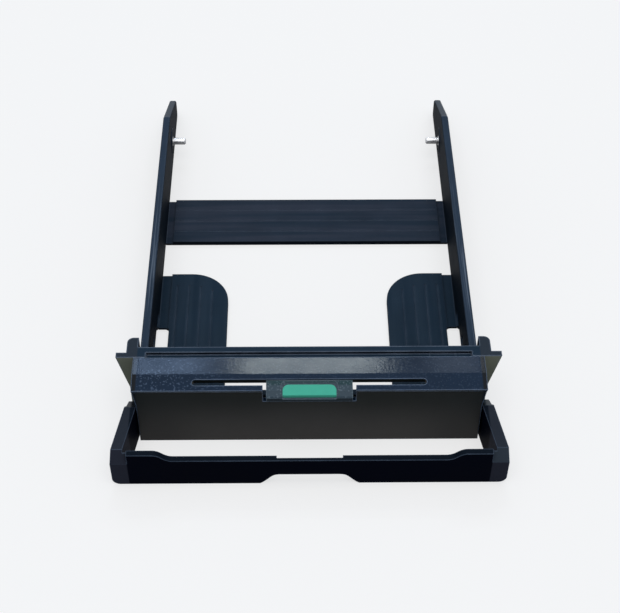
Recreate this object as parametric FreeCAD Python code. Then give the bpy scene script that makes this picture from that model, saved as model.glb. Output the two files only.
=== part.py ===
import FreeCAD, Part
import math
import os
from FreeCAD import Vector

# Hot swap caddy for a 3.5-inch disk drive, in millimetres.
# X is across the caddy, +Y runs from the bezel back along the arms, +Z is up.
# The origin is on the underside, at the foot of the bezel's front wall, midway across.

# --- the drive that the caddy carries -------------------------------------------------------
drive_width = 101.6
drive_side_gap = 0.3            # between the drive's side and each arm
drive_hole_height = 6.35        # side holes above the drive's underside
drive_hole_spacing = 101.6      # front side hole to rear side hole
drive_hole_setback = 16.9       # drive's front end to its front side hole
drive_front_gap = 0.1           # drive's front end to the front frame

# --- floor, arms and brace ------------------------------------------------------------------
floor_thickness = 1.8
web_thickness = 0.9             # thin floor that ties the grooved plates to the arms
arm_thickness = 2.6
arm_height = 20.0
arm_edge_round = 0.6
arm_tip_reach = 25.6            # drive pin to the end of the arm
arm_tip_height = 7.6
arm_tip_round = 2.0
boss_radius = 4.8               # pad round the drive pin, on the arm's inner face
boss_proud = 0.25
brace_start = 88.2
brace_depth = 22.1
brace_bands = 4
brace_end_gap = 2.6             # thin web between the brace's plate and each arm
tab_width = 20.1
tab_end_gap = 3.4
tab_rear = 71.8
tab_corner = 13.0
tab_grooves = 4
tab_groove_first = 2.2          # tab's outer edge to its first groove
tab_groove_pitch = 4.1
tab_groove_end = 5.5            # grooves stop this far short of the tab's rear edge
groove_width = 0.8
groove_depth = 0.3
window_rear = 47.1
window_length = 23.0
window_bite = 1.2               # how far the window reaches under the arm
side_slot_length = 28.0
side_slot_floor = 1.4
side_slot_height = 3.4
screw_hole_radius = 1.9
screw_sink_radius = 3.4

# --- front frame: rails, flange and shoulders -----------------------------------------------
front_height = 24.5
flange_front = 13.8
flange_thickness = 2.0
frame_thickness = 2.2
ledge_drop = 1.2                # flange's middle part below the frame's top
top_rail_height = 6.0
bottom_rail_height = 3.0
frame_post = 4.2
shoulder_reach = 3.55           # past the arm's outer face
shoulder_length = 6.2
shoulder_round = 2.0
wing_reach = 6.75               # flange's upper tip past the arm's outer face
wing_foot_reach = 3.5
wing_foot_height = 10.0
snap_offset = 42.0
snap_width = 8.0
snap_thickness = 1.6
snap_bump = 0.8
snap_gap = 0.15
snap_tip = 0.4                  # the tongue ends this far inside the rail's rear face
snap_lead = 0.2
window_wall = 0.3               # floor left between the window and the tab
window_round = 1.5
rail_round = 2.0
tab_front_gap = 0.2             # floor tab to the bezel's front wall

# --- bezel ----------------------------------------------------------------------------------
bezel_wall = 1.6
bezel_end_wall = 2.6
bezel_lean = 0.8                # top of the front wall stands back from its foot
fold_depth = 6.8                # the top's front facet, measured back from the foot
fold_drop = 0.8
lip_height = 0.7                # thin lip along the fold's front edge
lip_proud = 0.3
end_flare = 1.2                 # top of each end stands out from its foot
end_flare_start = 16.0
bezel_groove = 0.2              # top's rear edge to the flange
vent_half = 36.2
vent_front = 2.75
vent_width = 2.15
notch_half = 14.4
notch_gap = 2.2                 # notch's floor below the latch's underside

# --- bail handle ----------------------------------------------------------------------------
pivot_back = 4.5
pivot_height = 5.5
pivot_radius = 1.5
pivot_running_gap = 0.06
pivot_head_radius = 2.6
pivot_head_height = 0.9
head_chamfer = 0.2
bar_gap = 0.4                   # between bezel and handle
bar_thickness = 3.6
lobe_step = 0.5                 # the pivot lobe's outer face inside the bar's
bar_flare = 0.175               # outward travel per unit of length
flare_start = 2.0
handle_depth = 14.5             # side bars, top to bottom
shut_gap = 0.3                  # shut grip to the bezel's top
grip_thickness = 2.0
grip_middle_height = 11.6
grip_middle_half = 41.6
grip_rise_half = 48.3
corner_chamfer = 4.3            # height of the corners' chamfer
corner_setback = 2.5            # and its length along the bar
corner_start = 55.8             # the corners' chamfer begins this far from the middle
grip_end_inset = 0.4            # the grip's ends stop inside the bars
recess_half = 9.1
recess_mouth_half = 15.3
recess_depth = 4.6
catch_lip = 1.0
catch_pocket = 0.9
bar_edge_round = 2.6

# --- release latch --------------------------------------------------------------------------
latch_side_gap = 1.1
latch_rear_gap = 0.4
latch_nose = 1.6                # ahead of the front wall's foot
latch_proud = 1.1               # top of the raised catch above the bezel's top
latch_ramp_drop = 2.3           # rise of the catch's ramp
latch_ramp_end = 1.2            # ahead of the front wall's foot
latch_flank_drop = 0.3          # flanks below the bezel's top
latch_flank_depth = 3.6         # flanks, top to underside
latch_nose_lift = 0.8           # the nose's lower edge above the underside
latch_nose_face = 0.4           # ramp's foot above the nose's front face
latch_catch_gap = 0.3
latch_block_half = 8.8
latch_block_round = 1.5
latch_root_half = 9.0
latch_pin_back = 10.8
latch_pin_drop = 0.8            # latch's boss below the inside of the bezel's top
latch_root_drop = 1.6           # root's underside below the flanks' underside
latch_root_lap = 1.7            # how far the root reaches under the flanks
latch_pin_radius = 1.0
latch_pin_gap = 0.05
latch_boss_radius = 2.5
cheek_gap = 0.4
cheek_thickness = 2.0
cheek_margin = 2.2
inlay_half = 8.25
inlay_foot = -0.2                # along the ramp from its foot
inlay_length = 3.9
inlay_round = 1.9
inlay_sunk = 0.6
inlay_proud = 0.15
inlay_chamfer = 0.55
spring_back = 5.0
spring_radius = 1.9
spring_wire = 0.25
spring_turns = 5
spring_flats = 6                # flats round the wire
spring_slack = 0.1              # spring's top to the latch
spring_length = 9.0
shelf_half = 4.0
shelf_reach = 7.8

# --- drive pins -----------------------------------------------------------------------------
drive_pin_radius = 1.3          # enters the drive's 6-32 hole without turning
drive_pin_reach = 5.1           # tip past the arm's inner face
drive_pin_shank_radius = 1.8    # the shank that is pressed into the arm
drive_pin_head_radius = 3.0
drive_pin_head_height = 0.8
pin_tip_chamfer = 0.4

# --- worked out from the values above -------------------------------------------------------
arm_inner = drive_width / 2 + drive_side_gap
arm_outer = arm_inner + arm_thickness
flange_back = flange_front + flange_thickness
frame_back = flange_back + frame_thickness
front_hole_back = frame_back + drive_front_gap + drive_hole_setback
drive_pin_back = front_hole_back + drive_hole_spacing
drive_pin_height = floor_thickness + drive_hole_height
arm_end = drive_pin_back + arm_tip_reach
bezel_half = arm_outer
plate_rear = flange_front - bezel_groove
bar_inner = bezel_half + bar_gap
bar_outer = bar_inner + bar_thickness
lobe_outer = bar_outer - lobe_step
# Shut, the grip's inner face lies above the bezel's top by the shut gap.
grip_back = front_height + shut_gap - pivot_height - pivot_back
handle_front = grip_back + grip_thickness
vent_rear = vent_front + vent_width
latch_half = notch_half - latch_side_gap
latch_ramp_top = front_height + latch_proud
latch_ramp_foot = latch_ramp_top - latch_ramp_drop
latch_flank_top = front_height - latch_flank_drop
latch_underside = latch_flank_top - latch_flank_depth
latch_pin_height = front_height - bezel_wall - latch_pin_drop - latch_boss_radius
notch_floor = latch_underside - notch_gap
shelf_height = latch_underside - latch_root_drop - spring_length
latch_rear = vent_rear - latch_rear_gap
# With the bail shut, the grip's finger recess ends this far behind the origin.
shut_recess_back = pivot_back - pivot_height + recess_depth
latch_shoulder = shut_recess_back - latch_catch_gap


def box(x0, x1, y0, y1, z0, z1):
    """A block between two opposite corners."""
    return Part.makeBox(x1 - x0, y1 - y0, z1 - z0, Vector(x0, y0, z0))


def loop_face(points):
    """A flat face inside a closed run of straight edges."""
    return Part.Face(Part.makePolygon(points + [points[0]]))


def prism_x(points, x0, x1):
    """Extrude a (y, z) outline from x0 to x1."""
    face = loop_face([Vector(x0, y, z) for y, z in points])
    return face.extrude(Vector(x1 - x0, 0, 0))


def prism_y(points, y0, y1):
    """Extrude an (x, z) outline from y0 to y1."""
    face = loop_face([Vector(x, y0, z) for x, z in points])
    return face.extrude(Vector(0, y1 - y0, 0))


def prism_z(points, z0, z1):
    """Extrude an (x, y) outline from z0 to z1."""
    face = loop_face([Vector(x, y, z0) for x, y in points])
    return face.extrude(Vector(0, 0, z1 - z0))


def rod_x(radius, x0, x1, y, z):
    """A cylinder along X."""
    return Part.makeCylinder(radius, x1 - x0, Vector(x0, y, z), Vector(1, 0, 0))


def mirrored(shape):
    """The same shape on the caddy's other side."""
    return shape.mirror(Vector(0, 0, 0), Vector(1, 0, 0))


def both_sides(shape):
    """The shape and its mirror image, as a list."""
    return [shape, mirrored(shape)]


def slot_x(half_length, y0, y1, z0, z1):
    """A long hole across the caddy with round ends."""
    radius = (y1 - y0) / 2
    middle = (y0 + y1) / 2
    slot = box(-half_length + radius, half_length - radius, y0, y1, z0, z1)
    for side in (-1, 1):
        centre = Vector(side * (half_length - radius), middle, z0)
        slot = slot.fuse(Part.makeCylinder(radius, z1 - z0, centre))
    return slot


def tangent_point(centre_y, centre_z, radius, y, z):
    """Where a line from (y, z) touches the circle, on the side of larger y."""
    away_y = y - centre_y
    away_z = z - centre_z
    distance = math.hypot(away_y, away_z)
    along = radius ** 2 / distance ** 2
    across = radius * math.sqrt(distance ** 2 - radius ** 2) / distance ** 2
    return centre_y + along * away_y + across * away_z, centre_z + along * away_z - across * away_y


def picked_edges(shape, test):
    """The edges whose every vertex passes the test."""
    return [edge for edge in shape.Edges if all(test(vertex.Point) for vertex in edge.Vertexes)]


# --- tray frame -----------------------------------------------------------------------------
def side_arm():
    """Right arm: a wall that tapers past the drive pin to a low rounded tip."""
    outline = [(flange_back, 0), (arm_end, 0), (arm_end, arm_tip_height),
               (drive_pin_back, arm_height), (flange_back, arm_height)]
    arm = prism_x(outline, arm_inner, arm_outer)
    tip = picked_edges(arm, lambda point: point.y > arm_end - 0.01)
    tip = [edge for edge in tip if edge.Length < arm_thickness + 0.01]
    arm = arm.makeFillet(arm_tip_round, tip)
    crest = [edge for edge in arm.Edges if edge.Length > arm_tip_reach / 2
             and edge.CenterOfMass.z > arm_tip_height and abs(edge.tangentAt(edge.FirstParameter).x) < 0.1]
    return arm.makeFillet(arm_edge_round, crest)


def arm_cuts():
    """Slot, screw hole and pin seat of the right arm."""
    slot_rear = window_rear - window_length + side_slot_length
    end_radius = side_slot_height / 2
    slot_middle = side_slot_floor + end_radius
    slot = box(arm_inner - 1, arm_outer + 1, window_rear - window_length, slot_rear - end_radius,
               side_slot_floor, side_slot_floor + side_slot_height)
    slot = slot.fuse(rod_x(end_radius, arm_inner - 1, arm_outer + 1, slot_rear - end_radius, slot_middle))
    screw = rod_x(screw_hole_radius, arm_inner - 1, arm_outer, front_hole_back, drive_pin_height)
    sink_depth = screw_sink_radius - screw_hole_radius
    sink = Part.makeCone(screw_hole_radius, screw_sink_radius, sink_depth,
                         Vector(arm_outer - sink_depth, front_hole_back, drive_pin_height), Vector(1, 0, 0))
    seat = rod_x(drive_pin_shank_radius, arm_inner - 1, arm_outer, drive_pin_back, drive_pin_height)
    head = rod_x(drive_pin_head_radius, arm_outer - drive_pin_head_height, arm_outer + 1,
                 drive_pin_back, drive_pin_height)
    return [slot, screw, sink, seat, head]


def groove_outline(middle):
    """A V-groove across the floor's upper face, open above."""
    half = groove_width / 2
    return [(middle - half, floor_thickness), (middle, floor_thickness - groove_depth),
            (middle + half, floor_thickness), (middle + half, floor_thickness + 1),
            (middle - half, floor_thickness + 1)]


def brace_plate():
    """Cross brace: a grooved plate on thin webs at its ends."""
    half = arm_inner - brace_end_gap
    plate = box(-half, half, brace_start, brace_start + brace_depth, 0, floor_thickness)
    web = box(-arm_inner, arm_inner, brace_start, brace_start + brace_depth, 0, web_thickness)
    pitch = brace_depth / brace_bands
    grooves = [prism_x(groove_outline(brace_start + pitch * index), -half, half)
               for index in range(1, brace_bands)]
    return plate.cut(grooves).fuse(web)


def floor_tab():
    """Right floor tab: grooved lengthways, with one large rounded corner at its rear."""
    outer = arm_inner - tab_end_gap
    inner = outer - tab_width
    front = bezel_wall + tab_front_gap
    tab = box(inner, outer, front, tab_rear, 0, floor_thickness)
    corner = picked_edges(tab, lambda point: point.x < inner + 0.01 and point.y > tab_rear - 0.01)
    tab = tab.makeFillet(tab_corner, corner)
    grooves = []
    for index in range(tab_grooves):
        middle = outer - tab_groove_first - tab_groove_pitch * index
        # Grooves near the rounded corner stop as far short of its arc.
        across = max(0.0, inner + tab_corner - middle)
        arc = tab_corner - math.sqrt(tab_corner ** 2 - across ** 2)
        grooves.append(prism_y(groove_outline(middle), frame_back, tab_rear - arc - tab_groove_end))
    web = box(outer, arm_inner, flange_back, tab_rear, 0, web_thickness)
    return tab.cut(grooves).fuse(web)


def floor_window():
    """Right opening through the floor beside the arm, round at its rear."""
    outer = arm_inner + window_bite
    inner = arm_inner - tab_end_gap - window_wall
    window = box(inner, outer, window_rear - window_length, window_rear, -1, side_slot_floor + 1)
    corners = picked_edges(window, lambda point: point.y > window_rear - 0.01)
    corners = [edge for edge in corners if abs(edge.tangentAt(edge.FirstParameter).z) > 0.9]
    return window.makeFillet(window_round, corners)


def shoulder():
    """Right shoulder block behind the flange, rounded at its outer rear corner."""
    reach = arm_outer + shoulder_reach
    rear = flange_back + shoulder_length
    block = box(arm_inner, reach, flange_back, rear, 0, front_height)
    corner = picked_edges(block, lambda point: point.x > reach - 0.01 and point.y > rear - 0.01)
    block = block.makeFillet(shoulder_round, corner)
    relief = box(arm_inner - 1, arm_outer, frame_back, rear + 1, arm_height, front_height + 1)
    return block.cut(relief)


def flange():
    """Right flange: a plate across the shoulder whose outer edge leans out like the handle bar."""
    outline = [(arm_inner, 0), (arm_outer + wing_foot_reach, 0),
               (arm_outer + wing_foot_reach, wing_foot_height),
               (arm_outer + wing_reach, front_height), (arm_inner, front_height)]
    return prism_y(outline, flange_front, flange_back)


def front_frame():
    """Rails and posts that close the tray's front, open in the middle, with the flange's low part."""
    frame = box(-arm_outer, arm_outer, flange_back, frame_back, 0, front_height)
    half = arm_outer - frame_post
    opening = box(-half, half, flange_back - 1, frame_back + 1,
                  bottom_rail_height, front_height - top_rail_height)
    corners = [edge for edge in opening.Edges if abs(edge.tangentAt(edge.FirstParameter).y) > 0.9]
    ledge = box(-arm_inner, arm_inner, flange_front, flange_back,
                front_height - top_rail_height, front_height - ledge_drop)
    return frame.cut(opening.makeFillet(rail_round, corners)).fuse(ledge)


def snap_tongue():
    """Right snap of the bezel: a tongue whose bump stands up behind the flange."""
    x0 = snap_offset - snap_width / 2
    x1 = snap_offset + snap_width / 2
    top = front_height - bezel_wall
    tip = frame_back - snap_tip
    tongue = box(x0, x1, plate_rear - bezel_wall, tip, top - snap_thickness, top)
    bump = prism_x([(flange_back + snap_tip, top), (tip, top), (tip - snap_lead, top + snap_bump / 3),
                    (tip - 2 * snap_lead, top + snap_bump), (flange_back + snap_tip, top + snap_bump)],
                   x0, x1)
    return tongue.fuse(bump)


def snap_socket():
    """Right opening through the top rail, with a closed pocket over the bump."""
    x0 = snap_offset - snap_width / 2 - snap_gap
    x1 = snap_offset + snap_width / 2 + snap_gap
    top = front_height - bezel_wall
    tunnel = box(x0, x1, flange_front - 1, frame_back + 1, top - snap_thickness - snap_gap, top + snap_gap)
    pocket = box(x0, x1, flange_back + snap_tip - snap_gap, frame_back + 1, top, top + snap_bump + snap_gap)
    return tunnel.fuse(pocket)


def tray_frame():
    """Arms, brace, floor tabs and front frame, moulded as one piece."""
    pieces = [front_frame()]
    pieces += both_sides(side_arm())
    pieces += both_sides(floor_tab())
    pieces += both_sides(shoulder())
    pieces += both_sides(flange())
    pieces += both_sides(rod_x(boss_radius, arm_inner - boss_proud, arm_inner + 1,
                               drive_pin_back, drive_pin_height))
    body = brace_plate().fuse(pieces).removeSplitter()
    cuts = []
    for cut in arm_cuts() + [floor_window(), snap_socket()]:
        cuts += both_sides(cut)
    return body.cut(cuts).removeSplitter()


# --- bezel ----------------------------------------------------------------------------------
def bezel_outer_line():
    """Outer (y, z) line of the bezel, from the wall's foot over the lip and fold to the rear edge."""
    lip_foot = front_height - fold_drop - lip_height
    return [(0, 0), (bezel_lean + lip_proud, lip_foot), (bezel_lean, lip_foot),
            (bezel_lean, front_height - fold_drop), (fold_depth, front_height), (plate_rear, front_height)]


def front_bezel():
    """Front wall and folded top in one shell, with end walls, vent, latch notch and snaps."""
    inner_line = [(plate_rear, front_height - bezel_wall), (fold_depth, front_height - bezel_wall),
                  (bezel_lean + lip_proud + bezel_wall, front_height - fold_drop - bezel_wall),
                  (bezel_wall, 0)]
    top_half = bezel_half + end_flare
    shell = prism_x(bezel_outer_line() + inner_line, -top_half, top_half)
    end_outline = bezel_outer_line()[:-1] + [(flange_front, front_height), (flange_front, 0)]
    ends = both_sides(prism_x(end_outline, bezel_half - bezel_end_wall, top_half))
    right_edge = [(bezel_half, 0), (bezel_half, end_flare_start), (top_half, front_height)]
    left_edge = [(-x, z) for x, z in reversed(right_edge)]
    flared = prism_y(right_edge + left_edge, 0, flange_front)
    shelf = prism_x([(bezel_wall / 2, shelf_height), (shelf_reach, shelf_height),
                     (shelf_reach, shelf_height - bezel_wall), (bezel_wall / 2, shelf_height - shelf_reach)],
                    -shelf_half, shelf_half)
    post = Part.makeCylinder(spring_radius - 2 * spring_wire, bezel_wall,
                             Vector(0, spring_back, shelf_height))
    cheek_inner = latch_root_half + cheek_gap
    cheek = box(cheek_inner, cheek_inner + cheek_thickness, latch_pin_back - cheek_margin,
                latch_pin_back + cheek_margin, latch_pin_height - cheek_margin, front_height - bezel_wall / 2)
    solid = shell.fuse(ends).common(flared)
    solid = solid.fuse([shelf, post] + both_sides(cheek) + both_sides(snap_tongue()))
    vent = slot_x(vent_half, vent_front, vent_rear, front_height - 2 * bezel_wall, front_height + 1)
    notch = box(-notch_half, notch_half, -1, vent_rear, notch_floor, front_height + 1)
    pin_hole = rod_x(latch_pin_radius, -cheek_inner - cheek_thickness, cheek_inner + cheek_thickness,
                     latch_pin_back, latch_pin_height)
    pivot = rod_x(pivot_radius, bezel_half - bezel_end_wall - 1, bezel_half + 1, pivot_back, pivot_height)
    return solid.cut([vent, notch, pin_hole] + both_sides(pivot)).removeSplitter()


# --- bail handle ----------------------------------------------------------------------------
def bar_plan(y):
    """How far the side bar has moved outwards at a distance y along it."""
    return bar_flare * max(0.0, flare_start - y)


def side_bar():
    """Right side bar: flared in plan, with a round end about its pivot and a chamfered corner."""
    rear = pivot_back + pivot_height + 1
    plan = [(bar_inner, rear), (bar_inner, flare_start), (bar_inner + bar_plan(-handle_front), -handle_front),
            (bar_outer + bar_plan(-handle_front), -handle_front), (bar_outer, flare_start), (bar_outer, rear)]
    flared = prism_z(plan, 0, handle_depth)
    touch = tangent_point(pivot_back, pivot_height, pivot_height, flare_start, handle_depth)
    outline = [(pivot_back, 0), (-handle_front, 0), (-handle_front, handle_depth - corner_chamfer),
               (-handle_front + corner_setback, handle_depth), (flare_start, handle_depth), touch,
               (pivot_back, pivot_height)]
    reach = bar_outer + bar_plan(-handle_front) + 1
    side = prism_x(outline, bar_inner - 1, reach)
    eye = rod_x(pivot_height, bar_inner - 1, reach, pivot_back, pivot_height)
    return flared.common(side.fuse(eye)).removeSplitter()


def grip():
    """Crossbar: high at its ends, lower in the middle, with a finger recess underneath."""
    y = -handle_front
    end = bar_outer + bar_plan(-handle_front) - grip_end_inset

    def point(x, z):
        return Vector(x, y, z)

    rise_middle = (grip_middle_half + grip_rise_half) / 2
    recess_middle = (recess_half + recess_mouth_half) / 2
    edges = [Part.makeLine(point(-recess_half, recess_depth), point(recess_half, recess_depth)),
             Part.makeLine(point(-grip_middle_half, grip_middle_height),
                           point(grip_middle_half, grip_middle_height))]
    for side in (1, -1):
        recess = Part.BezierCurve()
        recess.setPoles([point(side * recess_half, recess_depth),
                         point(side * recess_middle, recess_depth),
                         point(side * recess_middle, recess_depth / 2),
                         point(side * recess_mouth_half, 0)])
        rise = Part.BezierCurve()
        rise.setPoles([point(side * grip_rise_half, handle_depth), point(side * rise_middle, handle_depth),
                       point(side * rise_middle, grip_middle_height),
                       point(side * grip_middle_half, grip_middle_height)])
        edges.append(recess.toShape())
        edges.append(Part.makeLine(point(side * recess_mouth_half, 0), point(side * end, 0)))
        edges.append(Part.makeLine(point(side * end, 0), point(side * end, handle_depth)))
        edges.append(Part.makeLine(point(side * end, handle_depth), point(side * grip_rise_half, handle_depth)))
        edges.append(rise.toShape())
    outline = Part.Face(Part.Wire(Part.__sortEdges__(edges)))
    panel = outline.extrude(Vector(0, grip_thickness, 0))
    corner_low = (y - corner_setback / 2, handle_depth - 1.5 * corner_chamfer)
    corner_high = (y + 1.5 * corner_setback, handle_depth + corner_chamfer / 2)
    corner_cut = prism_x([corner_low, corner_high, (corner_low[0], corner_high[1])], corner_start, end + 1)
    pocket = box(-recess_half - catch_lip, recess_half + catch_lip, y + grip_thickness - catch_pocket,
                 y + grip_thickness + 1, recess_depth + catch_lip, handle_depth)
    return panel.cut(both_sides(corner_cut) + [pocket])


def lobe_cut():
    """What is taken off the outside of the right bar round its pivot, with a sloping start."""
    start = flare_start + 2 * lobe_step
    rear = pivot_back + pivot_height + 2
    outside = bar_outer + 1
    plan = [(lobe_outer, start), (lobe_outer, rear), (outside, rear), (outside, start + lobe_outer - outside)]
    return prism_z(plan, -1, handle_depth + 1)


def bail_handle():
    """Grip and two side bars in one moulding, stepped and drilled at the pivots."""
    handle = grip().fuse(both_sides(side_bar())).removeSplitter()
    low = [edge for edge in handle.Edges
           if edge.BoundBox.ZMax < 0.01 and abs(edge.CenterOfMass.x) > (bar_inner + bar_outer) / 2
           and edge.BoundBox.YLength > handle_front / 2]
    handle = handle.makeFillet(bar_edge_round, low)
    bore = rod_x(pivot_radius + pivot_running_gap, bar_inner - 1, bar_outer + 1, pivot_back, pivot_height)
    head = rod_x(pivot_head_radius + bar_gap, lobe_outer - pivot_head_height - pivot_running_gap,
                 bar_outer + 1, pivot_back, pivot_height)
    cuts = both_sides(bore) + both_sides(head) + both_sides(lobe_cut())
    return handle.cut(cuts)


def handle_pin():
    """Right pivot: a headed pin pressed into the bezel's end wall."""
    start = bezel_half - bezel_end_wall
    head = lobe_outer - pivot_head_height
    profile = [(start, 0), (start, pivot_radius - pin_tip_chamfer), (start + pin_tip_chamfer, pivot_radius),
               (head, pivot_radius), (head, pivot_head_radius), (lobe_outer - head_chamfer, pivot_head_radius),
               (lobe_outer, pivot_head_radius - head_chamfer), (lobe_outer, 0)]
    face = loop_face([Vector(x, pivot_back, pivot_height + r) for x, r in profile])
    return face.revolve(Vector(0, pivot_back, pivot_height), Vector(1, 0, 0), 360)


def drive_pin():
    """Right drive pin: a headed stud pressed through the arm into the drive's rear side hole."""
    tip = arm_inner - drive_pin_reach
    head = arm_outer - drive_pin_head_height
    step = arm_inner - boss_proud
    profile = [(tip, 0), (tip, drive_pin_radius - pin_tip_chamfer), (tip + pin_tip_chamfer, drive_pin_radius),
               (step, drive_pin_radius), (step, drive_pin_shank_radius), (head, drive_pin_shank_radius),
               (head, drive_pin_head_radius), (arm_outer, drive_pin_head_radius), (arm_outer, 0)]
    face = loop_face([Vector(x, drive_pin_back, drive_pin_height + r) for x, r in profile])
    return face.revolve(Vector(0, drive_pin_back, drive_pin_height), Vector(1, 0, 0), 360)


# --- release latch --------------------------------------------------------------------------
def ramp_frame():
    """Foot of the latch's ramp, the unit vector up it and the unit vector out of it, in (y, z)."""
    run = latch_shoulder + latch_ramp_end
    rise = latch_ramp_top - latch_ramp_foot
    length = math.hypot(run, rise)
    return (-latch_ramp_end, latch_ramp_foot), (run / length, rise / length), (-rise / length, run / length)


def inlay_plate(start, proud):
    """A plate let into the latch's ramp, square at its foot and round at its upper corners."""
    foot, up, out = ramp_frame()

    def point(x, along):
        return Vector(x, foot[0] + up[0] * along - out[0] * inlay_sunk,
                      foot[1] + up[1] * along - out[1] * inlay_sunk)

    top = inlay_foot + inlay_length
    bend = inlay_round * math.sqrt(0.5)
    edges = [Part.makeLine(point(-inlay_half, start), point(inlay_half, start)),
             Part.makeLine(point(-inlay_half + inlay_round, top), point(inlay_half - inlay_round, top))]
    for side in (1, -1):
        edges.append(Part.makeLine(point(side * inlay_half, start), point(side * inlay_half, top - inlay_round)))
        centre_x = side * (inlay_half - inlay_round)
        edges.append(Part.Arc(point(side * inlay_half, top - inlay_round),
                              point(centre_x + side * bend, top - inlay_round + bend),
                              point(centre_x, top)).toShape())
    face = Part.Face(Part.Wire(Part.__sortEdges__(edges)))
    depth = inlay_sunk + proud
    return face.extrude(Vector(0, out[0] * depth, out[1] * depth))


def latch_inlay():
    """Green inlay, chamfered along its lower front edge."""
    inlay = inlay_plate(inlay_foot, inlay_proud)
    lowest = min(edge.CenterOfMass.y for edge in inlay.Edges if edge.Length > inlay_half)
    front = [edge for edge in inlay.Edges
             if edge.Length > inlay_half and abs(edge.CenterOfMass.y - lowest) < 0.01]
    return inlay.makeChamfer(inlay_chamfer, front)


def release_latch():
    """Sprung lever: a wide nose in the notch, a raised catch with a ramp, and a root on the pin."""
    foot, up, out = ramp_frame()
    slope = up[1] / up[0]
    flank_break = -latch_ramp_end + (latch_flank_top - latch_ramp_foot) / slope
    under = [(latch_rear, latch_underside), (0, latch_underside), (-latch_nose, latch_underside + latch_nose_lift),
             (-latch_nose, latch_ramp_foot - latch_nose_face), foot]
    flank = prism_x(under + [(flank_break, latch_flank_top), (latch_rear, latch_flank_top)],
                    -latch_half, latch_half)
    block = prism_x(under + [(latch_shoulder, latch_ramp_top), (latch_shoulder, latch_underside)],
                    -latch_block_half, latch_block_half)
    upright = [edge for edge in block.Edges
               if edge.CenterOfMass.y > latch_shoulder - 0.01 and edge.BoundBox.ZLength > 1]
    block = block.makeFillet(latch_block_round, upright)
    root_front = latch_rear - latch_root_lap
    root = prism_x([(root_front, latch_underside - latch_root_drop),
                    (root_front, latch_boss_radius + latch_pin_height),
                    (latch_pin_back, latch_pin_height + latch_boss_radius),
                    (latch_pin_back, latch_pin_height - latch_boss_radius)],
                   -latch_root_half, latch_root_half)
    boss = rod_x(latch_boss_radius, -latch_root_half, latch_root_half, latch_pin_back, latch_pin_height)
    bore = rod_x(latch_pin_radius + latch_pin_gap, -latch_root_half - 1, latch_root_half + 1,
                 latch_pin_back, latch_pin_height)
    return flank.fuse([block, root, boss]).cut([bore, inlay_plate(-latch_nose, 1)]).removeSplitter()


def latch_pin():
    """Plain pin across the two cheeks under the bezel's top."""
    end = latch_root_half + cheek_gap + cheek_thickness
    return rod_x(latch_pin_radius, -end, end, latch_pin_back, latch_pin_height)


def latch_spring():
    """Coil spring between the bezel's shelf and the underside of the latch."""
    top = latch_spring_top()
    height = top - shelf_height - 2 * spring_wire
    helix = Part.makeHelix(height / spring_turns, height, spring_radius)
    corners = []
    for index in range(spring_flats + 1):
        turn = 2 * math.pi * index / spring_flats
        corners.append(Vector(spring_radius + spring_wire * math.cos(turn), 0, spring_wire * math.sin(turn)))
    section = Part.makePolygon(corners)
    coil = Part.Wire(helix).makePipeShell([section], True, True)
    coil.translate(Vector(0, spring_back, shelf_height + spring_wire))
    return coil


def latch_spring_top():
    """Height of the latch root's underside above the middle of the spring."""
    start = latch_rear - latch_root_lap
    share = (spring_back - start) / (latch_pin_back - start)
    low = latch_underside - latch_root_drop
    return low + share * (latch_pin_height - latch_boss_radius - low) - spring_slack


def build():
    """Every piece of the caddy, by the name of its node."""
    right_handle_pin = handle_pin()
    right_drive_pin = drive_pin()
    return {
        "tray_frame": tray_frame(),
        "front_bezel": front_bezel(),
        "bail_handle": bail_handle(),
        "left_handle_pin": mirrored(right_handle_pin),
        "right_handle_pin": right_handle_pin,
        "release_latch": release_latch(),
        "latch_inlay": latch_inlay(),
        "latch_pin": latch_pin(),
        "latch_spring": latch_spring(),
        "left_drive_pin": mirrored(right_drive_pin),
        "right_drive_pin": right_drive_pin,
    }


os.makedirs("parts", exist_ok=True)
for name, shape in build().items():
    shape.exportStep("parts/" + name + ".step")
    box_size = shape.BoundBox
    print(name, shape.isValid(), len(shape.Solids), round(shape.Volume, 2),
          [round(value, 2) for value in (box_size.XMin, box_size.XMax, box_size.YMin, box_size.YMax,
                                         box_size.ZMin, box_size.ZMax)])
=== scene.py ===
import math

import bpy
import numpy as np
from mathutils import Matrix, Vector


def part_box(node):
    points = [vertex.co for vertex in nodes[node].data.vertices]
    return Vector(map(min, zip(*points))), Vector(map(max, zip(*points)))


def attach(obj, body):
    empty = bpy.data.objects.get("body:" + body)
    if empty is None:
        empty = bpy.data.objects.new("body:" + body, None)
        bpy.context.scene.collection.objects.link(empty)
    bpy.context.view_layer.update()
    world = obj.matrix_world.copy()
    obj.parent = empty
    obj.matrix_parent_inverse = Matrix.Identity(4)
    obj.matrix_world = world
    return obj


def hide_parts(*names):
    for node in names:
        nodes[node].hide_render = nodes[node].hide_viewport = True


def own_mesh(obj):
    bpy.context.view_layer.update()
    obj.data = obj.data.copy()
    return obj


# Looks for a hot swap drive caddy: moulded black plastics, a green latch inlay and steel pins.
# Lengths are in metres, in the CAD model's frame: +X right, +Y towards the rear, +Z up.

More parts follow.
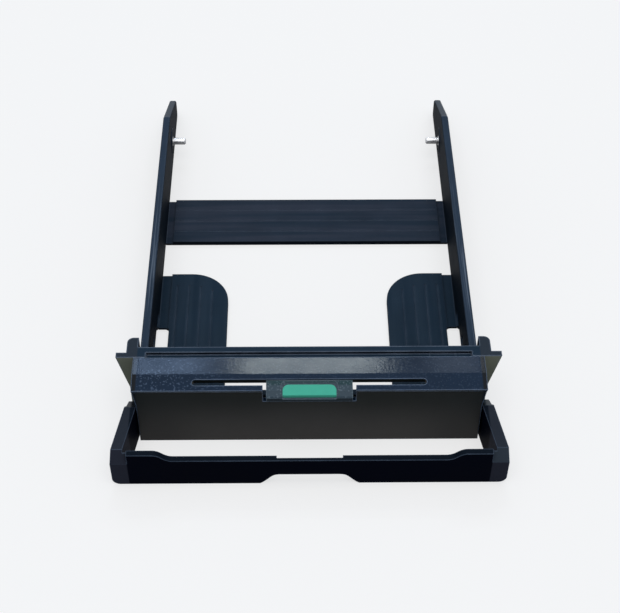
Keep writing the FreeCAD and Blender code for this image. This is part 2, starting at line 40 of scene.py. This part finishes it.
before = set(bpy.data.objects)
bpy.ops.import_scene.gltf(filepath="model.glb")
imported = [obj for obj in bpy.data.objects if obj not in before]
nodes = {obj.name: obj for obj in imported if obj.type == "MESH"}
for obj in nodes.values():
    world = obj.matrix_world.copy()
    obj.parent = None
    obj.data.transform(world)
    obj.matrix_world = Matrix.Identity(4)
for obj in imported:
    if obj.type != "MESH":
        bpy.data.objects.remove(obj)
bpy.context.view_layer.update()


# --- shader maths ---------------------------------------------------------------------------
class Value:
    """A shader socket that adds Math nodes when it is used in an expression."""

    def __init__(self, board, socket):
        self.board = board
        self.socket = socket

    def _maths(self, operation, a, b=None):
        inputs = {0: a} if b is None else {0: a, 1: b}
        return self.board.add("ShaderNodeMath", {"operation": operation}, inputs).value()

    def __add__(self, other):
        return self._maths("ADD", self, other)

    def __radd__(self, other):
        return self._maths("ADD", other, self)

    def __sub__(self, other):
        return self._maths("SUBTRACT", self, other)

    def __rsub__(self, other):
        return self._maths("SUBTRACT", other, self)

    def __mul__(self, other):
        return self._maths("MULTIPLY", self, other)

    def __rmul__(self, other):
        return self._maths("MULTIPLY", other, self)

    def __abs__(self):
        return self._maths("ABSOLUTE", self)

    def clamp(self):
        """The value held between 0 and 1."""
        node = self.board.add("ShaderNodeClamp", {}, {"Value": self})
        return node.value()

    def ramp(self, low, high):
        """0 at low, 1 at high, smooth between."""
        node = self.board.add("ShaderNodeMapRange", {"interpolation_type": "SMOOTHSTEP"},
                              {"Value": self, "From Min": low, "From Max": high})
        return node.value()

    def past(self, place, soft):
        """0 short of a place and 1 beyond it, with a soft step between."""
        return self.ramp(place - soft, place + soft)


class Node:
    """A shader node, whose outputs come back as values."""

    def __init__(self, board, node):
        self.board = board
        self.node = node

    def value(self, name=0):
        return Value(self.board, self.node.outputs[name])


class Board:
    """The node tree of one material, with one method that adds nodes to it."""

    def __init__(self, tree):
        self.tree = tree
        tree.nodes.clear()

    def add(self, kind, settings, inputs):
        """Add a node: its settings first, then the numbers, colours or links of its sockets."""
        node = self.tree.nodes.new(kind)
        for name, setting in settings.items():
            setattr(node, name, setting)
        for name, given in inputs.items():
            if isinstance(given, Value):
                self.tree.links.new(given.socket, node.inputs[name])
            else:
                node.inputs[name].default_value = given
        return Node(self, node)

    def mix(self, factor, a, b, blend="MIX"):
        """Blend colour b over colour a."""
        node = self.tree.nodes.new("ShaderNodeMix")
        node.data_type = "RGBA"
        node.blend_type = blend
        for place, given in ((0, factor), (6, a), (7, b)):
            if isinstance(given, Value):
                self.tree.links.new(given.socket, node.inputs[place])
            else:
                node.inputs[place].default_value = given if place == 0 else (*given, 1)
        return Value(self, node.outputs[2])

    def noise(self, place, scale, detail=2.0, roughness=0.5):
        node = self.add("ShaderNodeTexNoise", {}, {"Vector": place, "Scale": scale, "Detail": detail,
                                                   "Roughness": roughness})
        return node.value("Fac")

    def cells(self, place, scale, feature="F1"):
        node = self.add("ShaderNodeTexVoronoi", {"feature": feature}, {"Vector": place, "Scale": scale})
        return node.value("Distance")

    def stretched(self, place, x, y, z):
        """Coordinates scaled along each axis, for scratches and drawn grain."""
        node = self.add("ShaderNodeMapping", {}, {"Vector": place, "Scale": (x, y, z)})
        return node.value()


def new_material(name):
    material = bpy.data.materials.new(name)
    material.use_nodes = True
    return material, Board(material.node_tree)


def give(material, *names):
    """Put one material on CAD nodes by name."""
    for name in names:
        mesh = nodes[name].data
        mesh.materials.clear()
        mesh.materials.append(material)


# --- finishes -------------------------------------------------------------------------------
CLOUD_SCALE = 38            # noise scales are per metre
PATCH_SCALE = 130
SPECK_SCALE = 2600
SCUFF_SCALE = 55
STAIN_SCALE = 420
PEBBLE = 0.0007             # width of one pebble
DUST = (0.20, 0.22, 0.25)
NAVY = (0.003, 0.006, 0.011)

BEZEL_SIDE = 0.05375        # half width of the bezel at the flange
TRIM_SIDE = 0.05345         # where the bezel's plain ends begin
PEBBLE_SIDE = 0.0532        # where its pebbles end
BLOCK_SIDE = 0.0558         # where the bail's corner blocks begin
SLOPE_SIDE = 0.05525        # where the painted highlight on the right block's sloping face begins
ARM_TOP = 0.0192            # just under the arms' top edges
FLANGE_REAR = 0.0182        # rear face of the flange
FLOOR_TOP = 0.0035          # just over the tabs and the brace
BRACE_FRONT = 0.0863        # between the tabs and the brace
BAND_FRONT = 0.0026         # front edge of the painted shade band along the latch's rear


def facing_up(facing, low, high):
    return facing.value("Z").ramp(low, high)


def facing_front(facing, low, high=0.95):
    return (0 - facing.value("Y")).ramp(low, high)


def edge_mask(board, rounded):
    """1 along sharp edges, where the rounded normal leaves the flat one, and 0 on flat faces."""
    flat = board.add("ShaderNodeNewGeometry", {}, {}).value("Normal")
    match = board.add("ShaderNodeVectorMath", {"operation": "DOT_PRODUCT"}, {0: rounded, 1: flat})
    return (1 - match.value("Value")).ramp(0.004, 0.09)


def moulded(name, side, lit_top, highlight_colour, roughness, specular, grain, depth, edge=0.0004,
            regions=None, pebble=None, highlight_above=-1.0):
    """Moulded plastic with one colour on upright faces and a paler one on level faces: painted
    light, with the level faces lit and the upright ones shaded.

    Over these lie clouds, hair scratches, specks of dust, painted highlights along edges, and
    a fine grain or pebbles. The regions function recolours parts of the piece, pebble gives
    where pebbles lie and what share of them carries painted glints, and edges below the height
    in the last argument carry weaker painted highlights.
    """
    material, board = new_material(name)
    texture = board.add("ShaderNodeTexCoord", {}, {})
    place = texture.value("Object")
    facing = board.add("ShaderNodeSeparateXYZ", {}, {0: texture.value("Normal")})
    where = board.add("ShaderNodeSeparateXYZ", {}, {0: place})
    # How far a face looks up: it sets the painted lit colour of level faces and where dust settles.
    lit_tops_and_dust = facing_up(facing, 0.3, 0.95)
    clouds = board.noise(place, CLOUD_SCALE, 4, 0.6)
    patches = board.noise(place, PATCH_SCALE, 3, 0.55)
    fine = board.noise(place, 1 / grain, 3, 0.6)
    specks = board.noise(place, SPECK_SCALE, 2, 0.7).ramp(0.62, 0.80)
    along = board.noise(board.stretched(place, 60, 2400, 2400), 1, 2, 0.6).ramp(0.68, 0.76)
    across = board.noise(board.stretched(place, 2100, 70, 2100), 1, 2, 0.6).ramp(0.69, 0.77)
    scuffs = (along + across) * board.noise(place, SCUFF_SCALE, 3).ramp(0.45, 0.7)
    # Painted light: level faces take the paler lit colour, upright faces the darker shaded one.
    tint = board.mix(lit_tops_and_dust, side, lit_top)
    if regions:
        tint = regions(board, tint, place, where, facing)
    tint = board.mix(1.0, tint, clouds * 0.45 + patches * 0.25 + 0.65, "MULTIPLY")
    tint = board.mix((lit_tops_and_dust * specks * 0.10 + scuffs * 0.03).clamp(), tint, DUST)
    rounded = board.add("ShaderNodeBevel", {"samples": 6}, {"Radius": edge}).value()
    # Painted highlights: edges take the highlight colour in patches, weaker low down.
    highlight_by_height = where.value("Z").ramp(highlight_above - 0.003, highlight_above) * 0.8 + 0.2
    edge_highlights = edge_mask(board, rounded) * (patches * 1.2 + 0.2) * highlight_by_height
    tint = board.mix(edge_highlights.clamp(), tint, highlight_colour)
    upright = (abs(facing.value("X")).ramp(0.5, 0.9) + facing_front(facing, 0.6)).clamp()
    rough = roughness + upright * 0.35 + scuffs * 0.10
    rough = rough + (clouds - 0.5) * 0.10 + (patches - 0.5) * 0.08
    height = fine * 0.5
    if pebble:
        mask, sparkle = pebble
        cover = mask(where, facing)
        knobs = 1 - board.cells(place, 1 / PEBBLE, "SMOOTH_F1")
        height = height + knobs * cover
        # Painted glints: the crowns of the pebbles take the highlight colour.
        tint = board.mix((knobs.ramp(0.62, 0.86) * cover * sparkle(where)).clamp(), tint, highlight_colour)
        rough = rough + cover * 0.05
    normal = board.add("ShaderNodeBump", {}, {"Strength": 1.0, "Distance": depth, "Height": height,
                                              "Normal": rounded}).value()
    shader = board.add("ShaderNodeBsdfPrincipled", {}, {
        "Base Color": tint, "Roughness": rough.clamp(), "Specular IOR Level": specular, "Normal": normal})
    board.add("ShaderNodeOutputMaterial", {}, {"Surface": shader.value()})
    return material


def steel(name, colour, roughness, drawn, under=0.72, edge=0.00015):
    """Bare metal with lathe or drawing marks round its length along X, and painted shade underneath."""
    material, board = new_material(name)
    texture = board.add("ShaderNodeTexCoord", {}, {})
    place = texture.value("Object")
    turned = board.add("ShaderNodeSeparateXYZ", {}, {0: texture.value("Normal")})
    marks = board.noise(board.stretched(place, drawn, 160, 160), 1, 3, 0.7)
    stains = board.noise(place, STAIN_SCALE, 3, 0.6)
    tint = board.mix(stains.ramp(0.35, 0.75), colour, [c * 0.72 for c in colour])
    # Painted shade: faces that look down fall to a share of the colour.
    tint = board.mix(turned.value("Z").ramp(0.55, -0.25), tint, [c * under for c in colour])
    rough = (roughness + (marks - 0.5) * 0.18 + stains * 0.08).clamp()
    rounded = board.add("ShaderNodeBevel", {"samples": 4}, {"Radius": edge}).value()
    normal = board.add("ShaderNodeBump", {}, {"Strength": 0.5, "Distance": 0.00002, "Height": marks,
                                              "Normal": rounded}).value()
    shader = board.add("ShaderNodeBsdfPrincipled", {}, {
        "Base Color": tint, "Metallic": 1.0, "Roughness": rough, "Normal": normal})
    board.add("ShaderNodeOutputMaterial", {}, {"Surface": shader.value()})
    return material


def tray_regions(board, tint, place, where, facing):
    """Banded floor tabs and brace, and painted light: lit flange wings, lit shoulders and highlighted arm
    tops.
    """
    outside = abs(where.value("X")).past(BEZEL_SIDE, 0.00015)
    # Painted light: the fronts of the flange wings are painted pale olive grey, as lit by light off the
    # floor.
    lit_wing_front = outside * facing_front(facing, 0.7)
    tint = board.mix(lit_wing_front, tint, (0.185, 0.198, 0.154))
    upward = facing_up(facing, 0.3, 0.9)
    high = where.value("Z").past(ARM_TOP, 0.0004) * upward
    arms = high * (1 - outside) * where.value("Y").past(FLANGE_REAR, 0.0002)
    low = (1 - where.value("Z").past(FLOOR_TOP, 0.0005)) * upward
    behind = where.value("Y").past(BRACE_FRONT, 0.0003)
    across = board.noise(board.stretched(place, 14, 300, 300), 1, 2, 0.5)
    lengthways = board.noise(board.stretched(place, 300, 14, 300), 1, 2, 0.5)
    brace = board.mix(across.ramp(0.3, 0.7), (0.014, 0.026, 0.044), (0.030, 0.039, 0.060))
    tabs = board.mix(lengthways.ramp(0.3, 0.7), (0.010, 0.024, 0.043), (0.017, 0.033, 0.054))
    tint = board.mix(low, tint, board.mix(behind, tabs, brace))
    # Painted light on the arm tops: a paler lit tone, with streaked painted highlights that fade out towards
    # the rear.
    arm_highlight_streaks = board.noise(board.stretched(place, 1500, 22, 22), 1, 2, 0.6).ramp(0.50, 0.68)
    arm_highlight_streaks = arm_highlight_streaks * where.value("Y").ramp(0.120, 0.060) * 0.6
    tint = board.mix(arms, tint, board.mix(arm_highlight_streaks, (0.026, 0.043, 0.070), (0.17, 0.21, 0.27)))
    # Painted light: level faces of the shoulders outside the bezel are painted paler, as lit.
    return board.mix(high * outside, tint, (0.028, 0.038, 0.052))


def bezel_regions(board, tint, place, where, facing):
    """Front wall greyer, with painted shade high up and painted reflection paler towards its foot and middle;
    dark plain ends.
    """
    wall = facing_front(facing, 0.6)
    inner = abs(where.value("X")).ramp(0.048, 0.030)
    height = where.value("Z")
    # Painted shade and reflection on the front wall: dark high up under the overhang, paler towards the foot
    # where the floor is mirrored, palest in the middle.
    outer_wall_shading = board.mix(height.ramp(0.020, 0.002), (0.012, 0.015, 0.016), (0.020, 0.020, 0.020))
    inner_wall_shading = board.mix(height.ramp(0.021, 0.001), (0.011, 0.014, 0.014), (0.050, 0.047, 0.045))
    tint = board.mix(wall, tint, board.mix(inner, outer_wall_shading, inner_wall_shading))
    ends = abs(where.value("X")).past(TRIM_SIDE, 0.00025)
    return board.mix(ends, tint, (0.004, 0.007, 0.011))


def bezel_pebbles(where, facing):
    """Where the bezel is pebbled: its level faces, short of the ends."""
    return facing_up(facing, 0.6, 0.9) * (1 - abs(where.value("X")).past(PEBBLE_SIDE, 0.0002))


def bezel_sparkle(where):
    """Share of the pebbles given painted glints, most towards the left end."""
    return where.value("X").ramp(-0.020, -0.045) * 0.22 + 0.08


def handle_regions(board, tint, place, where, facing):
    """Paler corner blocks and side bars, and a painted highlight on the right block's sloping face."""
    blocks = abs(where.value("X")).past(BLOCK_SIDE, 0.0002)
    # Corner blocks and side bars coloured paler than the bail's grip, a shade paler still on level faces as
    # painted light.
    block_tone = board.mix(facing_up(facing, 0.3, 0.95), (0.026, 0.029, 0.043), (0.026, 0.032, 0.044))
    tint = board.mix(blocks, tint, block_tone)
    # Painted highlight: the right block's sloping face is painted pale.
    sloping = facing_up(facing, 0.4, 0.6) * facing_up(facing, 0.95, 0.8)
    right_slope_highlight = where.value("X").past(SLOPE_SIDE, 0.00075) * sloping
    return board.mix(right_slope_highlight, tint, (0.050, 0.070, 0.090))


def latch_regions(board, tint, place, where, facing):
    """A band of painted shade, dark teal, along the latch's rear edge."""
    return board.mix(where.value("Y").past(BAND_FRONT, 0.0004), tint, (0.007, 0.034, 0.043))


def latch_pebbles(where, facing):
    """Where the latch is pebbled: every face that looks up."""
    return facing_up(facing, 0.2, 0.6)


def latch_sparkle(where):
    """Share of the latch's pebbles given painted glints, more towards its ends."""
    return abs(where.value("X")).ramp(0.004, 0.012) * 0.30 + 0.20


# Each finish gives a shaded colour for upright faces and a paler lit one for level faces: painted light.
give(moulded("tray_plastic", side=NAVY, lit_top=(0.014, 0.030, 0.052), highlight_colour=(0.17, 0.21, 0.28),
             roughness=0.30, specular=0.02, grain=0.00045, depth=0.00003, edge=0.0007,
             regions=tray_regions, highlight_above=0.019), "tray_frame")
give(moulded("bezel_plastic", side=NAVY, lit_top=(0.004, 0.018, 0.044), highlight_colour=(0.16, 0.23, 0.35),
             roughness=0.06, specular=0.15, grain=0.0003, depth=0.000006, edge=0.0005,
             regions=bezel_regions, pebble=(bezel_pebbles, bezel_sparkle)), "front_bezel")
give(moulded("handle_plastic", side=(0.0003, 0.0010, 0.0045), lit_top=(0.006, 0.010, 0.017),
             highlight_colour=(0.085, 0.115, 0.165), roughness=0.22, specular=0.008, grain=0.0004,
             depth=0.00002, edge=0.0005, regions=handle_regions), "bail_handle")
give(moulded("latch_plastic", side=(0.014, 0.023, 0.032), lit_top=(0.032, 0.056, 0.077),
             highlight_colour=(0.16, 0.21, 0.25), roughness=0.34, specular=0.15, grain=0.0003,
             depth=0.00006, regions=latch_regions, pebble=(latch_pebbles, latch_sparkle)),
     "release_latch")
give(moulded("inlay_green", side=(0.040, 0.30, 0.21), lit_top=(0.052, 0.47, 0.33),
             highlight_colour=(0.10, 0.50, 0.36), roughness=0.34, specular=0.15, grain=0.0003,
             depth=0.00001), "latch_inlay")
give(steel("stud_steel", (0.72, 0.74, 0.78), 0.24, 5200, 0.14), "left_drive_pin", "right_drive_pin")
give(steel("pin_steel", (0.50, 0.52, 0.55), 0.30, 4200), "latch_pin")
give(steel("pivot_black", (0.045, 0.048, 0.054), 0.38, 3600), "left_handle_pin", "right_handle_pin")


# --- coil spring ----------------------------------------------------------------------------
def coil_spring():
    """Spring under the latch: a round wire carried along an upright helix, closed at both ends.

    A point is the coil's radius plus the wire's radius times the cosine of the turn round the
    wire, outwards, and the coil's height plus the wire's radius times its sine, upwards. The
    height stays level for the first part of a turn, then climbs evenly to the end.
    """
    low, high = (np.array(corner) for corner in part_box("latch_spring"))
    middle_x, middle_y = float(low[0] + high[0]) / 2, float(low[1] + high[1]) / 2
    wire = 0.00025
    coil = (high[0] - low[0]) / 2 - wire
    turns, level, steps, flats = 6.0, 0.7, 288, 12
    along, around = np.meshgrid(np.linspace(0, turns, steps + 1),
                                np.linspace(0, 2 * np.pi, flats, endpoint=False), indexing="ij")
    climb = np.clip((along - level) / (turns - level), 0, 1)
    reach = coil + wire * np.cos(around)
    height = low[2] + wire + climb * (high[2] - low[2] - 2 * wire)
    points = np.stack([middle_x + reach * np.cos(2 * np.pi * along),
                       middle_y + reach * np.sin(2 * np.pi * along),
                       height + wire * np.sin(around)], -1)
    tips = points[[0, -1]].mean(axis=1)
    index = np.arange(steps * flats).reshape(steps, flats)
    beside = np.roll(index, -1, axis=1)
    sides = np.stack([index, index + flats, beside + flats, beside], -1).reshape(-1, 4)
    first, last = np.arange(flats), steps * flats + np.arange(flats)
    start = np.stack([np.full(flats, (steps + 1) * flats), first, np.roll(first, -1)], -1)
    end = np.stack([np.full(flats, (steps + 1) * flats + 1), np.roll(last, -1), last], -1)
    mesh = bpy.data.meshes.new("coil_spring")
    mesh.from_pydata(np.concatenate([points.reshape(-1, 3), tips]).tolist(), [],
                     sides.tolist() + start.tolist() + end.tolist())
    mesh.polygons.foreach_set("use_smooth", np.ones(len(mesh.polygons), dtype=bool))
    mesh.materials.append(steel("spring_steel", (0.42, 0.43, 0.45), 0.34, 3000))
    piece = bpy.data.objects.new("coil_spring", mesh)
    bpy.context.scene.collection.objects.link(piece)
    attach(piece, "tray")
    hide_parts("latch_spring")
    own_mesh(piece)


coil_spring()


# --- floor, light and camera ----------------------------------------------------------------
def seen_ray(board):
    """1 for rays from the camera, a gloss or a clear part, and 0 for light that falls on things."""
    rays = board.add("ShaderNodeLightPath", {}, {})
    kinds = [rays.value(kind) for kind in ("Is Camera Ray", "Is Glossy Ray", "Is Transmission Ray")]
    return (kinds[0] + kinds[1] + kinds[2]).clamp()


def floor_sheet():
    """A flat pale floor, two metres each way, just under the caddy."""
    reach, drop = 2.0, 0.00002
    corners = [(-reach, -reach, -drop), (reach, -reach, -drop), (reach, reach, -drop), (-reach, reach, -drop)]
    mesh = bpy.data.meshes.new("floor")
    mesh.from_pydata(corners, [], [(0, 1, 2, 3)])
    sheet = bpy.data.objects.new("floor", mesh)
    bpy.context.scene.collection.objects.link(sheet)
    material, board = new_material("floor_paper")
    seen = seen_ray(board)
    paper = board.add("ShaderNodeBsdfDiffuse", {}, {"Color": (0.93, 0.93, 0.93, 1)}).value()
    glow = board.add("ShaderNodeEmission", {}, {"Color": (1, 1, 1, 1), "Strength": 1.0}).value()
    grey = board.add("ShaderNodeBsdfDiffuse", {}, {"Color": (0.42, 0.41, 0.40, 1)}).value()
    shown = board.add("ShaderNodeMixShader", {}, {0: 0.65, 1: paper, 2: glow}).value()
    both = board.add("ShaderNodeMixShader", {}, {0: seen, 1: grey, 2: shown}).value()
    board.add("ShaderNodeOutputMaterial", {}, {"Surface": both})
    mesh.materials.append(material)


def soft_lamp(name, place, aim, width, height, power, colour):
    """A rectangular lamp at a place, turned towards a point."""
    lamp = bpy.data.lights.new(name, "AREA")
    lamp.shape = "RECTANGLE"
    lamp.size = width
    lamp.size_y = height
    lamp.energy = power
    lamp.color = colour
    holder = bpy.data.objects.new(name, lamp)
    holder.location = place
    away = np.array(place) - np.array(aim)
    holder.rotation_euler = (math.atan2(math.hypot(away[0], away[1]), away[2]), 0,
                             math.atan2(away[0], -away[1]))
    bpy.context.scene.collection.objects.link(holder)


def room():
    """World light: cool grey, white where the camera or a gloss sees it."""
    world = bpy.data.worlds.new("room")
    world.use_nodes = True
    bpy.context.scene.world = world
    board = Board(world.node_tree)
    cool = (0.80, 0.88, 1.0, 1)
    plain = board.add("ShaderNodeBackground", {}, {"Color": cool, "Strength": 0.45}).value()
    white = board.add("ShaderNodeBackground", {}, {"Color": (1, 1, 1, 1), "Strength": 1.0}).value()
    seen = seen_ray(board)
    both = board.add("ShaderNodeMixShader", {}, {0: seen, 1: plain, 2: white}).value()
    board.add("ShaderNodeOutputWorld", {}, {"Surface": both})


def camera():
    """Camera above the bezel, looking down along the arms."""
    lens = bpy.data.cameras.new("camera")
    lens.sensor_width = 36
    lens.lens = 77.5
    lens.clip_start = 0.01
    lens.clip_end = 20
    holder = bpy.data.objects.new("camera", lens)
    holder.location = (-0.0040, -0.2572, 0.3417)
    holder.rotation_euler = (math.radians(42.66), math.radians(-0.27), math.radians(-0.59))
    bpy.context.scene.collection.objects.link(holder)
    bpy.context.scene.camera = holder


floor_sheet()
room()
middle = (0.0, 0.06, 0.0)           # where the lamps aim
soft_lamp("window_lamp", (0.012, 0.785, 0.94), middle, 0.17, 0.045, 0.55, (0.87, 0.98, 1.0))
soft_lamp("left_pane_lamp", (-0.160, 0.785, 0.94), middle, 0.10, 0.045, 0.17, (0.46, 0.66, 1.0))
soft_lamp("right_pane_lamp", (0.193, 0.785, 0.94), middle, 0.06, 0.045, 0.036, (0.75, 0.85, 1.0))
soft_lamp("strip_lamp", (0.0, 0.95, 0.86), middle, 1.0, 0.05, 1.2, (0.80, 0.90, 1.0))
soft_lamp("ceiling_lamp", (0.0, -0.2, 1.3), middle, 1.2, 1.0, 7.5, (1.0, 0.98, 0.95))
camera()
bpy.context.scene.view_settings.view_transform = "Standard"
